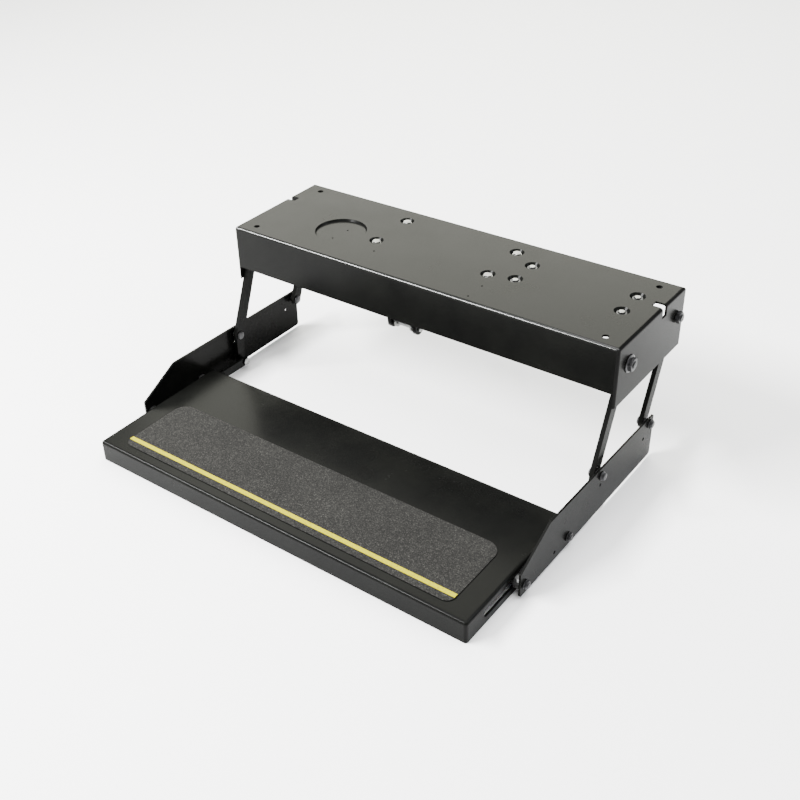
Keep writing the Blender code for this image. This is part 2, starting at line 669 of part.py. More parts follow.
def make_tread_links():
    """Each link runs from the front arm's lever, on its pin, to a rivet facing its tread bracket."""
    for name, side in sides():
        low, high = span(side, TREAD_LINK_INNER, TREAD_LINK_OUTER)
        outline = capsule(LEVER_PIN, TREAD_PIN, TREAD_LINK_WIDTH / 2)
        link = flat_plate("tread_link_" + name, [outline], low, high, "powder", LEVER_PIN)
        low, high = span(side, TREAD_LINK_INNER - 0.002, ARM_OUTER)
        lever_pin = rod("lever_pin_" + name, low, high, LEVER_PIN, SLIDE_BOLT, sides=16)
        low, high = span(side, TREAD_LINK_INNER - 0.002, TREAD_LINK_OUTER + GAP)
        tread_pin = rod("tread_pin_" + name, low, high, TREAD_PIN, SLIDE_BOLT, sides=16)
        join(link, [lever_pin, tread_pin])


# ---- drive --------------------------------------------------------------------------------------

GEAR_CENTRE = GEAR_MODULE * (SUN_TEETH + PLANET_TEETH) / 2
RING_TEETH = SUN_TEETH + 2 * PLANET_TEETH
CRANK_THICK = 0.006
CASE_LEFT = DRIVE_X + LUG_OUTER_WIDTH / 2 + LUG_CLEARANCE
CASE_RIGHT = CASE_LEFT + GEARCASE_LENGTH
MOTOR_RIGHT = CASE_RIGHT + GAP + MOTOR_LENGTH
SHAFT_RADIUS = 0.0055
CRANK_RIGHT = CASE_LEFT - 0.0015


def gear_outline(centre, teeth, phase, inside=False):
    """Stub teeth that clear their mates; an internal gear has its teeth turned inwards."""
    pitch = GEAR_MODULE * teeth / 2
    sign = -1 if inside else 1
    tip = pitch + sign * 0.45 * GEAR_MODULE
    root = pitch - sign * 0.95 * GEAR_MODULE
    points = []
    for k in range(teeth):
        middle = phase + 2 * math.pi * k / teeth
        step = 2 * math.pi / teeth
        for offset, radius in ((-0.30, root), (-0.13, tip), (0.13, tip), (0.30, root)):
            angle = middle + offset * step
            points.append((centre[0] + radius * math.cos(angle), centre[1] + radius * math.sin(angle)))
    return points


def planet_places():
    return [(CRANK_SHAFT[0] + GEAR_CENTRE * math.cos(a), CRANK_SHAFT[1] + GEAR_CENTRE * math.sin(a), a)
            for a in (0.0, 2 * math.pi / 3, 4 * math.pi / 3)]


def make_gearcase():
    """The case's cylinder with its end wall, and the ring gear cut inside it."""
    case = rod("gear_housing", CASE_LEFT, CASE_RIGHT, CRANK_SHAFT, MOTOR_RADIUS + CASE_OVER, "cast",
               sides=32)
    flange_bottom = CRANK_SHAFT[1]
    foot = box("case_foot", (CASE_LEFT + 0.004, CRANK_SHAFT[0] - 0.016, flange_bottom),
               (CASE_RIGHT - 0.006, CRANK_SHAFT[0] + 0.016, bracket_underside() - GAP))
    join(case, [foot])
    teeth = flat_plate("ring_cut", [gear_outline(CRANK_SHAFT, RING_TEETH, math.pi / RING_TEETH, True)],
                       CASE_LEFT + CASE_WALL + 0.004, CASE_RIGHT - 0.012, None)
    hollow = rod("case_hollow", CASE_RIGHT - 0.014, CASE_RIGHT + 0.01, CRANK_SHAFT, MOTOR_RADIUS - CASE_WALL,
                 sides=32)
    relief = rod("case_relief", CASE_LEFT + CASE_WALL, CASE_LEFT + CASE_WALL + 0.0045, CRANK_SHAFT,
                 GEAR_CENTRE + GEAR_MODULE * PLANET_TEETH / 2 + 0.002, sides=24)
    bore = rod("case_bore", CASE_LEFT - 0.01, CASE_LEFT + 0.01, CRANK_SHAFT, SHAFT_RADIUS + GAP, sides=16)
    return smooth(cut(case, [teeth, hollow, relief, bore]))


def bracket_underside():
    return -SHEET - DIMPLE_DEPTH - GAP - SHEET


def make_motor():
    left = CASE_RIGHT + GAP
    can = rod("motor_can", left, MOTOR_RIGHT, CRANK_SHAFT, MOTOR_RADIUS, "black_steel", sides=32)
    hollow = rod("can_hollow", left + CASE_WALL, MOTOR_RIGHT + 0.01, CRANK_SHAFT, MOTOR_RADIUS - CASE_WALL,
                 sides=32)
    bore = rod("can_bore", left - 0.01, left + 0.01, CRANK_SHAFT, 0.0030 + GAP, sides=12)
    smooth(cut(can, [hollow, bore]))
    cap = rod("motor_end_cap", MOTOR_RIGHT + GAP, MOTOR_RIGHT + 0.006, CRANK_SHAFT, MOTOR_RADIUS, "plastic",
              sides=32)
    spigot = rod("cap_spigot", MOTOR_RIGHT - 0.003, MOTOR_RIGHT + 0.002, CRANK_SHAFT,
                 MOTOR_RADIUS - CASE_WALL - GAP, sides=32)
    smooth(join(cap, [spigot]))
    armature = rod("armature", CASE_LEFT + CASE_WALL + 0.009, MOTOR_RIGHT - 0.005, CRANK_SHAFT, 0.0030,
                   "zinc", sides=12)
    core = rod("armature_core", left + 0.018, MOTOR_RIGHT - 0.026, CRANK_SHAFT, MOTOR_RADIUS - 0.0065,
               sides=20)
    commutator = rod("commutator", MOTOR_RIGHT - 0.020, MOTOR_RIGHT - 0.009, CRANK_SHAFT, 0.009, sides=16)
    sun = flat_plate("sun_teeth", [gear_outline(CRANK_SHAFT, SUN_TEETH, math.pi / SUN_TEETH)],
                     CASE_LEFT + CASE_WALL + 0.0085, CASE_RIGHT - 0.016, None)
    join(armature, [core, commutator, sun])


def make_planets():
    left = CASE_LEFT + CASE_WALL + 0.0052
    right = CASE_RIGHT - 0.0165
    for i, (y, z, angle) in enumerate(planet_places()):
        outline = gear_outline((y, z), PLANET_TEETH, planet_phase(angle))
        hole = circle_points((y, z), 0.0022 + GAP, 10)
        flat_plate("planet_gear_%d" % (i + 1), [outline, hole], left + 0.0006, right, "black_steel", (y, z))


def planet_phase(angle):
    """Turn a planet so that a tooth space faces the sun's tooth on the line of centres."""
    sun_phase = math.pi / SUN_TEETH
    step = 2 * math.pi / SUN_TEETH
    offset = (angle - sun_phase) % step
    return angle + math.pi + offset * SUN_TEETH / PLANET_TEETH + math.pi / PLANET_TEETH


def make_output():
    """Output shaft with the planet carrier's disc and three pins on its inner end."""
    shaft_left = CRANK_RIGHT - CRANK_THICK - 0.004
    disc_left = CASE_LEFT + CASE_WALL + GAP
    disc_right = disc_left + 0.0035
    shaft = rod("output_shaft", shaft_left, disc_right - 0.001, CRANK_SHAFT, SHAFT_RADIUS, "black_steel",
                sides=16)
    disc = rod("carrier_disc", disc_left, disc_right, CRANK_SHAFT, GEAR_CENTRE + 0.0045, sides=20)
    pins = [rod("carrier_pin_%d" % i, disc_left + 0.001, CASE_RIGHT - 0.0168, (y, z), 0.0022, sides=10)
            for i, (y, z, angle) in enumerate(planet_places())]
    join(shaft, [disc] + pins)


def make_crank():
    outline = capsule(CRANK_SHAFT, CRANK_PIN, 0.0125, LUG_RADIUS)
    holes = [circle_points(CRANK_SHAFT, SHAFT_RADIUS + GAP, 16),
             circle_points(CRANK_PIN, SLIDE_BOLT + GAP, 12)]
    flat_plate("crank_arm", [outline] + holes, CRANK_RIGHT - CRANK_THICK, CRANK_RIGHT, "powder", CRANK_SHAFT)
    left = DRIVE_X - LINK_WIDTH / 2 - 0.002
    smooth(rod("crank_pin", left, CRANK_RIGHT + 0.0010, CRANK_PIN, SLIDE_BOLT, "zinc", sides=12))


def make_drive_link():
    """A folded channel: two webs on the pins and a back that joins them above the pins' line."""
    half = LINK_WIDTH / 2
    height = LINK_HEIGHT / 2
    low_y, high_y = DRIVE_PIN[0], CRANK_PIN[0]
    link = flat_plate("drive_link", [capsule(DRIVE_PIN, CRANK_PIN, height)], DRIVE_X - half, DRIVE_X + half,
                      "zinc", DRIVE_PIN)
    hollow = box("link_hollow", (DRIVE_X - half + LINK_WALL, low_y - 0.02, DRIVE_PIN[1] - 0.02),
                 (DRIVE_X + half - LINK_WALL, high_y + 0.02, DRIVE_PIN[1] + height - LINK_WALL))
    bores = [rod("link_bore_%d" % i, DRIVE_X - half - 0.01, DRIVE_X + half + 0.01, centre,
                 SLIDE_BOLT + GAP, sides=12) for i, centre in enumerate((DRIVE_PIN, CRANK_PIN))]
    cut(link, [hollow] + bores)


def make_motor_bracket():
    """Plate under the dimples that the gear case's foot bolts up to."""
    top = -SHEET - DIMPLE_DEPTH - GAP
    holes = [circle_points(place, SMALL_BOLT + HOLE_CLEARANCE, 12) for place in bracket_places()]
    flat_plate("motor_bracket", [tray_outline(BRACKET_X, BRACKET_Y, 0.011, 0.006)] + holes, top - SHEET, top,
               "black_steel", lying=True)


def tray_outline(x_pair, y_pair, edge, radius):
    """A rounded rectangle that reaches past a block of four bolts."""
    left, right = x_pair[0] - edge, x_pair[1] + edge
    front, back = y_pair[0] - edge, y_pair[1] + edge
    return rounded([(left, front, radius), (right, front, radius), (right, back, radius),
                    (left, back, radius)])


def make_module():
    """Control module in a folded tray, hung from the four dark bolts."""
    top = -SHEET - DIMPLE_DEPTH - GAP
    holes = [circle_points(place, SMALL_BOLT + HOLE_CLEARANCE, 12) for place in module_places()]
    flat_plate("module_bracket", [tray_outline(MODULE_X, MODULE_Y, 0.010, 0.005)] + holes, top - TRAY, top,
               "black_steel", lying=True)
    case_top = top - TRAY - GAP
    box("control_module", (MODULE_X[0] + 0.018, MODULE_Y[0] - 0.006, case_top - 0.030),
        (MODULE_X[1] - 0.018, MODULE_Y[1] + 0.006, case_top), "plastic", bevel=0.003)


def make_top_bolts():
    under_bracket = bracket_underside() - GAP
    for i, (x, y) in enumerate(bracket_places()):
        make_top_bolt("bracket_bolt_%d" % (i + 1), x, y, under_bracket, "zinc", 0.0060, 0.0032)
    under_module = -SHEET - DIMPLE_DEPTH - GAP - TRAY - GAP
    for i, (x, y) in enumerate(module_places()):
        make_top_bolt("module_bolt_%d" % (i + 1), x, y, under_module, "zinc", 0.0048, 0.0032)


make_frame_pan()
make_top_bolts()
make_motor_bracket()
make_module()
make_arms()
make_torque_tube()
make_lugs()
make_side_plates()
make_tread()
make_tread_brackets()
make_mat()
make_tread_links()
make_gearcase()
make_motor()
make_planets()
make_output()
make_crank()
make_drive_link()
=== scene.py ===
import json
import math

import bmesh
import bpy
from mathutils import Matrix, Vector


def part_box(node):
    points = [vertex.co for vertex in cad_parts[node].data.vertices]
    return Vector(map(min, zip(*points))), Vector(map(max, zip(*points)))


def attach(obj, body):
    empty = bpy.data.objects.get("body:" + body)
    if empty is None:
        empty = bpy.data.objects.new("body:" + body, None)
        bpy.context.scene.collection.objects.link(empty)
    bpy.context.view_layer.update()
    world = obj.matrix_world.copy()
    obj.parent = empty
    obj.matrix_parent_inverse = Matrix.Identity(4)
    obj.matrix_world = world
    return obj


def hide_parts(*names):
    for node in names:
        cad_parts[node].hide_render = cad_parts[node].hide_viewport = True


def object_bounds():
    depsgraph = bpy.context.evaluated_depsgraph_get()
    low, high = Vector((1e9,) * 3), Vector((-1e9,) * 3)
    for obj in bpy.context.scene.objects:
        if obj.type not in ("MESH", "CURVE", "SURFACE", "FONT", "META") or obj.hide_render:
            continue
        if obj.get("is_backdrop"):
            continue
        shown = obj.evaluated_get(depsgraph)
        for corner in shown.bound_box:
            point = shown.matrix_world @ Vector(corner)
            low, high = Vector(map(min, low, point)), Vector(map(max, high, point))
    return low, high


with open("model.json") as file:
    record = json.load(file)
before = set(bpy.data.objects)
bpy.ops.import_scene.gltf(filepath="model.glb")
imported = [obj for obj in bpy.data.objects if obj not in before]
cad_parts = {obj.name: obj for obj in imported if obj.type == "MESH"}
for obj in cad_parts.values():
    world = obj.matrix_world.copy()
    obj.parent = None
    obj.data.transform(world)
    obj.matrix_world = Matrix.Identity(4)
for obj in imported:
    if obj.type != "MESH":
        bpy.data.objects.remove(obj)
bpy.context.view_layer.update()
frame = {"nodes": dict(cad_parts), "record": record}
NODES = frame["nodes"]
BODIES = frame["record"]["behaviour"]["bodies"]
BODY_OF = {node: body for body, nodes in BODIES.items() for node in nodes}
SLOT_OF = {part["node"]: part["material_slot"] for part in frame["record"]["subparts"]}
JOINTS = {joint["name"]: joint for joint in frame["record"]["behaviour"]["joints"]}


# ---- materials ----------------------------------------------------------------------------------

def new_material(name):
    material = bpy.data.materials.new(name)
    material.use_nodes = True
    tree = material.node_tree
    return material, tree, tree.nodes["Principled BSDF"]


def add(tree, kind, **settings):
    node = tree.nodes.new(kind)
    for key, value in settings.items():
        if key in node.inputs:
            node.inputs[key].default_value = value
        else:
            setattr(node, key, value)
    return node


def texture(tree, kind, scale, **settings):
    """A 3-D texture in metres, on the piece's own coordinates."""
    place = tree.nodes.get("Place") or add(tree, "ShaderNodeTexCoord", name="Place")
    node = add(tree, kind, **settings)
    node.inputs["Scale"].default_value = scale
    tree.links.new(place.outputs["Object"], node.inputs["Vector"])
    return node


def ramp(tree, source, stops):
    node = add(tree, "ShaderNodeValToRGB")
    elements = node.color_ramp.elements
    while len(elements) < len(stops):
        elements.new(0.5)
    for element, (position, color) in zip(elements, stops):
        element.position = position
        element.color = (*color, 1.0) if isinstance(color, tuple) else (color, color, color, 1.0)
    tree.links.new(source, node.inputs["Fac"])
    return node.outputs["Color"]


def mix(tree, mode, factor, first, second):
    node = add(tree, "ShaderNodeMix", data_type="RGBA", blend_type=mode)
    for socket, value in ((node.inputs[0], factor), (node.inputs[6], first), (node.inputs[7], second)):
        if isinstance(value, bpy.types.NodeSocket):
            tree.links.new(value, socket)
        elif isinstance(value, tuple):
            socket.default_value = (*value, 1.0)
        else:
            socket.default_value = value
    return node.outputs[2]


def bump(tree, height, strength, distance, before=None):
    node = add(tree, "ShaderNodeBump", Strength=strength, Distance=distance)
    tree.links.new(height, node.inputs["Height"])
    if before is not None:
        tree.links.new(before, node.inputs["Normal"])
    return node.outputs["Normal"]


def powder_coat(name, specular):
    """Black coat with a faint orange peel and patches of duller gloss."""
    material, tree, shader = new_material(name)
    peel = texture(tree, "ShaderNodeTexNoise", 620.0, Detail=2.0, Roughness=0.5)
    smudge = texture(tree, "ShaderNodeTexNoise", 11.0, Detail=5.0, Roughness=0.62)
    tone = ramp(tree, smudge.outputs["Fac"], [(0.3, (0.0022, 0.0023, 0.0022)),
                                              (0.75, (0.0042, 0.0044, 0.0038))])
    tree.links.new(tone, shader.inputs["Base Color"])
    tree.links.new(ramp(tree, smudge.outputs["Fac"], [(0.25, 0.20), (0.8, 0.30)]),
                   shader.inputs["Roughness"])
    tree.links.new(bump(tree, peel.outputs["Fac"], 0.12, 0.00010), shader.inputs["Normal"])
    shader.inputs["Specular IOR Level"].default_value = specular
    return material


def metal(name, color, dark, rough, grain, metallic=1.0):
    material, tree, shader = new_material(name)
    fine = texture(tree, "ShaderNodeTexNoise", grain, Detail=3.0, Roughness=0.6)
    broad = texture(tree, "ShaderNodeTexNoise", 60.0, Detail=4.0, Roughness=0.6)
    tree.links.new(ramp(tree, broad.outputs["Fac"], [(0.3, dark), (0.65, color)]),
                   shader.inputs["Base Color"])
    tree.links.new(ramp(tree, broad.outputs["Fac"], [(0.3, min(1.0, rough * 1.5)), (0.7, rough)]),
                   shader.inputs["Roughness"])
    tree.links.new(bump(tree, fine.outputs["Fac"], 0.25, 0.00008), shader.inputs["Normal"])
    shader.inputs["Metallic"].default_value = metallic
    return material


def grit_sheet():
    material, tree, shader = new_material("grit_sheet")
    grains = texture(tree, "ShaderNodeTexVoronoi", 1050.0, Randomness=1.0)
    clumps = texture(tree, "ShaderNodeTexNoise", 420.0, Detail=4.0, Roughness=0.7)
    wear = texture(tree, "ShaderNodeTexNoise", 14.0, Detail=4.0, Roughness=0.6)
    grain_tone = add(tree, "ShaderNodeSeparateColor")
    tree.links.new(grains.outputs["Color"], grain_tone.inputs["Color"])
    tone = ramp(tree, grain_tone.outputs["Red"],
                [(0.0, (0.005, 0.0049, 0.0045)), (0.60, (0.012, 0.0118, 0.0107)),
                 (0.86, (0.021, 0.0206, 0.0185)), (1.0, (0.042, 0.041, 0.037))])
    shade = ramp(tree, clumps.outputs["Fac"], [(0.35, 0.45), (0.65, 1.25)])
    tone = mix(tree, "MULTIPLY", 1.0, tone, shade)
    tone = mix(tree, "MULTIPLY", 1.0, tone, ramp(tree, wear.outputs["Fac"], [(0.3, 0.85), (0.7, 1.12)]))
    tree.links.new(tone, shader.inputs["Base Color"])
    first = bump(tree, grains.outputs["Distance"], 0.8, 0.0006)
    tree.links.new(bump(tree, clumps.outputs["Fac"], 0.7, 0.0007, first), shader.inputs["Normal"])
    shader.inputs["Roughness"].default_value = 0.88
    shader.inputs["Specular IOR Level"].default_value = 0.15
    return material


def stripe_paint():
    material, tree, shader = new_material("stripe_yellow")
    grains = texture(tree, "ShaderNodeTexNoise", 520.0, Detail=3.0, Roughness=0.65)
    tree.links.new(ramp(tree, grains.outputs["Fac"], [(0.28, (0.20, 0.170, 0.0)), (0.5, (0.29, 0.265, 0.0)),
                                                      (0.8, (0.33, 0.300, 0.0))]),
                   shader.inputs["Base Color"])
    tree.links.new(bump(tree, grains.outputs["Fac"], 0.35, 0.0003), shader.inputs["Normal"])
    shader.inputs["Roughness"].default_value = 0.7
    shader.inputs["Specular IOR Level"].default_value = 0.05
    return material


def plastic(name, color, light, rough):
    material, tree, shader = new_material(name)
    stipple = texture(tree, "ShaderNodeTexNoise", 1500.0, Detail=2.0, Roughness=0.5)
    broad = texture(tree, "ShaderNodeTexNoise", 25.0, Detail=3.0, Roughness=0.6)
    tree.links.new(ramp(tree, broad.outputs["Fac"], [(0.3, color), (0.7, light)]),
                   shader.inputs["Base Color"])
    tree.links.new(bump(tree, stipple.outputs["Fac"], 0.2, 0.0001), shader.inputs["Normal"])
    shader.inputs["Roughness"].default_value = rough
    return material


POWDER = powder_coat("powder_coat_black", 0.038)
BEND_HIGHLIGHT_COAT = powder_coat("powder_coat_bend_highlight", 0.30)      # painted highlight: a glossier copy of the coat that makes the bright line along the pan's front bend
ZINC = metal("zinc_plate", (0.27, 0.275, 0.27), (0.12, 0.12, 0.115), 0.30, 900.0)
OXIDE = metal("black_oxide", (0.045, 0.045, 0.047), (0.02, 0.02, 0.021), 0.34, 1100.0, 0.7)
CAST = metal("cast_alloy", (0.50, 0.50, 0.51), (0.36, 0.36, 0.36), 0.48, 700.0)
GRIT = grit_sheet()
STRIPE = stripe_paint()
PLASTIC = plastic("moulded_black", (0.014, 0.014, 0.015), (0.022, 0.022, 0.023), 0.5)
NYLON = plastic("black_nylon", (0.012, 0.012, 0.012), (0.020, 0.020, 0.020), 0.42)
SLOT_MATERIAL = {"black_paint": POWDER, "zinc_steel": ZINC, "black_steel": OXIDE, "grip_surface": GRIT,
                 "yellow_paint": STRIPE, "gear_alloy": CAST, "black_plastic": PLASTIC, "nylon": NYLON}

for node_name, node_object in NODES.items():
    node_object.data.materials.clear()
    node_object.data.materials.append(SLOT_MATERIAL[SLOT_OF[node_name]])


# ---- mesh helpers -------------------------------------------------------------------------------

JOIN_DISTANCE = 0.000002        # merges the corners that the CAD mesh doubles
FLAT_ANGLE = 0.6                # degrees, faces flatter than this are one face
CUT_EDGE = 0.0005               # rounding of cut edges
CUT_EDGE_STEPS = 2
CUT_EDGE_ANGLE = 40.0           # degrees, edges sharper than this are cut edges
SHARP_ANGLE = 50.0              # degrees, edges sharper than this stay sharp
BEND_DEPTH = 0.006              # how far the front bend, which gets the painted highlight, reaches behind the pan's front face
BEND_SLOPE = 0.2                # least forward and upward part of the normals of the bend faces that get the painted highlight


def smooth_by_angle(mesh, degrees=30.0):
    mesh.shade_smooth()
    mesh.set_sharp_from_angle(angle=math.radians(degrees))


def apply_modifiers(obj):
    """Gives the object the mesh that its modifiers make."""
    depsgraph = bpy.context.evaluated_depsgraph_get()
    depsgraph.update()
    mesh = bpy.data.meshes.new_from_object(obj.evaluated_get(depsgraph))
    obj.modifiers.clear()
    obj.data = mesh


def piece(name, bm, material, body, replaced=()):
    bmesh.ops.recalc_face_normals(bm, faces=bm.faces)
    mesh = bpy.data.meshes.new(name)
    bm.to_mesh(mesh)
    bm.free()
    mesh.materials.append(material)
    smooth_by_angle(mesh)
    obj = bpy.data.objects.new(name, mesh)
    bpy.context.scene.collection.objects.link(obj)
    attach(obj, body)
    if replaced:
        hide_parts(*replaced)


def refine(node):
    """Puts the CAD node's shape with its cut edges rounded in the node's place; on the frame pan the front
    bend gets a painted highlight.
    """
    bm = bmesh.new()
    bm.from_mesh(NODES[node].data)
    bmesh.ops.remove_doubles(bm, verts=bm.verts, dist=JOIN_DISTANCE)
    bmesh.ops.dissolve_limit(bm, angle_limit=math.radians(FLAT_ANGLE), verts=bm.verts, edges=bm.edges)
    mesh = bpy.data.meshes.new(node + "_fine")
    bm.to_mesh(mesh)
    bm.free()
    obj = bpy.data.objects.new(node + "_fine", mesh)
    bpy.context.scene.collection.objects.link(obj)
    edge = obj.modifiers.new("edge", "BEVEL")
    edge.width = CUT_EDGE
    edge.segments = CUT_EDGE_STEPS
    edge.limit_method = "ANGLE"
    edge.angle_limit = math.radians(CUT_EDGE_ANGLE)
    apply_modifiers(obj)
    obj.data.materials.clear()
    obj.data.materials.append(SLOT_MATERIAL[SLOT_OF[node]])
    # painted highlight: the frame pan's front bend faces get the glossier copy of the coat, which makes a
    # bright line along it
    if node == "frame_pan":
        obj.data.materials.append(BEND_HIGHLIGHT_COAT)
        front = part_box(node)[0].y + BEND_DEPTH
        for face in obj.data.polygons:
            if (face.normal.y < -BEND_SLOPE and face.normal.z > BEND_SLOPE
                    and face.center.y < front):
                face.material_index = 1
    smooth_by_angle(obj.data, SHARP_ANGLE)
    normals = obj.modifiers.new("normals", "WEIGHTED_NORMAL")
    normals.mode = "FACE_AREA"
    normals.weight = 100
    normals.keep_sharp = True
    apply_modifiers(obj)
    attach(obj, BODY_OF[node])
    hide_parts(node)


# ---- sheet metal and bars -----------------------------------------------------------------------

SIDES = (("left", -1.0), ("right", 1.0))
for name in ["frame_pan", "tread_pan", "motor_bracket", "module_bracket", "crank_arm", "drive_link",
             "grip_mat", "control_module", "gear_housing", "motor_can", "motor_end_cap", "torque_tube"]:
    refine(name)
for side, _ in SIDES:
    for name in ("side_plate", "front_arm", "rear_arm", "drive_lug", "tread_bracket", "tread_link"):
        refine("%s_%s" % (name, side))


# ---- turned pieces, nuts and welds --------------------------------------------------------------

def axes_for(axis):
    """Two directions square to a row axis, so that a ring about it can be drawn."""
    axis = Vector(axis)
    first = Vector((0.0, 1.0, 0.0)) if abs(axis.y) < 0.5 else Vector((1.0, 0.0, 0.0))
    second = axis.cross(first)
    return axis, first, second


def skin(bm, rings):
    """Joins rings of points that have the same count, and closes both ends."""
    made = [[bm.verts.new(p) for p in ring] for ring in rings]
    count = len(made[0])
    for low, high in zip(made, made[1:]):
        for k in range(count):
            bm.faces.new((low[k], low[(k + 1) % count], high[(k + 1) % count], high[k]))
    bm.faces.new(list(reversed(made[0])))
    bm.faces.new(made[-1])


def join_loops(bm, loops):
    """Joins closed loops of vertices into a tube that closes on itself."""
    count = len(loops[0])
    for here, there in zip(loops, loops[1:] + loops[:1]):
        for i in range(count):
            bm.faces.new((here[i], there[i], there[(i + 1) % count], here[(i + 1) % count]))


def turned(bm, origin, axis, profile, segments=40):
    """A solid of revolution: profile is a list of (radius, height along the axis)."""
    axis, first, second = axes_for(axis)
    origin = Vector(origin)
    rings = []
    for radius, height in profile:
        rings.append([origin + axis * height + (first * math.cos(a) + second * math.sin(a)) * radius
                      for a in (2 * math.pi * k / segments for k in range(segments))])
    skin(bm, rings)


def hexagonal(bm, origin, axis, across, height, turn=0.0, start=0.0):
    """A hex nut or head with its corners chamfered at both ends."""
    axis, first, second = axes_for(axis)
    origin = Vector(origin)
    segments = 48
    chamfer = 0.09 * across
    rings = []
    for h, cap in ((start, 0.505), (start + chamfer * 0.6, 1.0), (start + height - chamfer * 0.6, 1.0),
                   (start + height, 0.50)):
        ring = []
        for k in range(segments):
            a = 2 * math.pi * k / segments
            inside = (a + math.pi / 6) % (math.pi / 3) - math.pi / 6
            radius = min(across / 2 / math.cos(inside), across * cap)
            out = first * math.cos(a + turn) + second * math.sin(a + turn)
            ring.append(origin + axis * h + out * radius)
        rings.append(ring)
    skin(bm, rings)


def hollow_ring(bm, origin, axis, inner, profile, segments=40):
    """A washer, clip or collar: profile runs round its section as (radius, height)."""
    axis, first, second = axes_for(axis)
    origin = Vector(origin)
    loops = []
    for k in range(segments):
        a = 2 * math.pi * k / segments
        out = first * math.cos(a) + second * math.sin(a)
        loops.append([bm.verts.new(origin + axis * h + out * (inner + r)) for r, h in profile])
    join_loops(bm, loops)


def washer(bm, origin, axis, inner, outer, thick, start=0.0):
    edge = thick * 0.22
    wide = outer - inner
    hollow_ring(bm, origin, axis, inner, [(0.0, start), (wide - edge, start), (wide, start + edge),
                                          (wide, start + thick - edge), (wide - edge, start + thick),
                                          (0.0, start + thick)])


def threaded_end(radius, start, end, pitch=0.0008):
    profile = []
    height = start
    while height < end - pitch:
        profile += [(radius * 0.93, height), (radius, height + pitch / 2)]
        height += pitch
    return profile + [(radius * 0.93, height), (radius * 0.86, end)]


WELD_ROOT = 0.0006              # how far a bead's root lies inside the tube's face


def weld_bead(bm, origin, axis, radius, size, side, seed):
    """A fillet weld round a tube where it meets a plate, with the ripples of the pass."""
    axis, first, second = axes_for(axis)
    origin = Vector(origin)
    segments, steps = 96, 6
    loops = []
    for k in range(segments):
        a = 2 * math.pi * k / segments
        out = first * math.cos(a) + second * math.sin(a)
        swell = size * (1.0 + 0.10 * math.sin(a * 26 + seed) + 0.05 * math.sin(a * 5 + 2 * seed))
        loop = [bm.verts.new(origin + out * (radius - WELD_ROOT))]
        for i in range(steps + 1):
            t = math.pi / 2 * i / steps
            loop.append(bm.verts.new(origin + out * (radius + swell * (1 - 0.86 * math.sin(t)))
                                     + axis * side * swell * (1 - 0.86 * math.cos(t)) * 0.9))
        loop.append(bm.verts.new(origin + out * (radius - WELD_ROOT) + axis * side * swell))
        loops.append(loop)
    join_loops(bm, loops)


def centre_of(node):
    low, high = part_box(node)
    return (low + high) / 2


def ends(node, sign):
    """The outer and inner ends of a bolt along X, as distances from the middle."""
    low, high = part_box(node)
    return (high.x, low.x) if sign > 0 else (-low.x, -high.x)


# ---- pivot, slide and top bolts -----------------------------------------------------------------

PAN_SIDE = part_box("frame_pan")[1].x
PLATE_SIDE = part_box("side_plate_right")[1].x
PIVOT_SHANK = 0.0050
PIVOT_HEAD = 0.0062
SLIDE_SHANK = 0.0040
SLIDE_HEAD = 0.0068
SEAT_GAP = 0.00035              # nut or head off the sheet
FLANGE_NUT = 0.0168             # across flats
SMALL_NUT = 0.0150
HEX_HEAD = 0.0112


def pivot_bolt(node, sign, seat, kind):
    """A bolt from the inside out: round head, shank, then what shows outside the plate."""
    outer, inner = ends(node, sign)
    centre = centre_of(node)
    base = Vector((0.0, centre.y, centre.z))
    axis = (sign, 0.0, 0.0)
    shank, head = (SLIDE_SHANK, SLIDE_HEAD) if "slide" in node else (PIVOT_SHANK, PIVOT_HEAD)
    seat += SEAT_GAP
    bm = bmesh.new()
    profile = [(head * 0.55, inner + 0.0001), (head * 0.86, inner + 0.0006), (head, inner + 0.0018),
               (head, inner + 0.0034), (shank, inner + 0.0035), (shank, seat - 0.0003)]
    turned(bm, base, axis, profile + threaded_end(shank, seat - 0.0002, outer - 0.0001), 32)
    if kind == "flange_nut":
        turned(bm, base, axis, [(0.0118, seat), (0.0122, seat + 0.0005), (0.0119, seat + 0.0011),
                                (0.0096, seat + 0.0019)], 40)
        hexagonal(bm, base, axis, FLANGE_NUT, outer - 0.0016 - seat - 0.0014, 0.25, seat + 0.0014)
    elif kind == "small_nut":
        hexagonal(bm, base, axis, SMALL_NUT, outer - 0.0018 - seat, 0.6, seat)
    elif kind == "rivet":
        turned(bm, base, axis, [(0.0062, seat), (0.0064, seat + 0.0006), (0.0058, seat + 0.0016),
                                (0.0044, seat + 0.0022), (0.0036, seat + 0.0017), (0.0010, seat + 0.0013)], 32)
    else:
        hexagonal(bm, base, axis, HEX_HEAD, outer - 0.0017 - seat, 0.35, seat)
        turned(bm, base, axis, [(0.0063, seat), (0.0064, seat + 0.0005), (0.0058, seat + 0.0009)], 32)
    piece(node + "_fine", bm, OXIDE, BODY_OF[node], [node])


for side, sign in SIDES:
    pivot_bolt("upper_bolt_front_" + side, sign, PAN_SIDE, "flange_nut")
    pivot_bolt("upper_bolt_rear_" + side, sign, PAN_SIDE, "small_nut")
    pivot_bolt("lower_bolt_front_" + side, sign, PLATE_SIDE, "rivet")
    pivot_bolt("lower_bolt_rear_" + side, sign, PLATE_SIDE, "hex")
    pivot_bolt("slide_bolt_front_" + side, sign, PLATE_SIDE, "hex")
    pivot_bolt("slide_bolt_rear_" + side, sign, PLATE_SIDE, "hex")


TOP_SHANK = 0.0030
TOP_HEAD_DROP = 0.0031          # head's seat below the bolt's top
TOP_NUT = 0.0094                # across flats
TOP_NUT_HEIGHT = 0.0042
BRACKET_HEX = 0.0108
MODULE_HEX = 0.0074


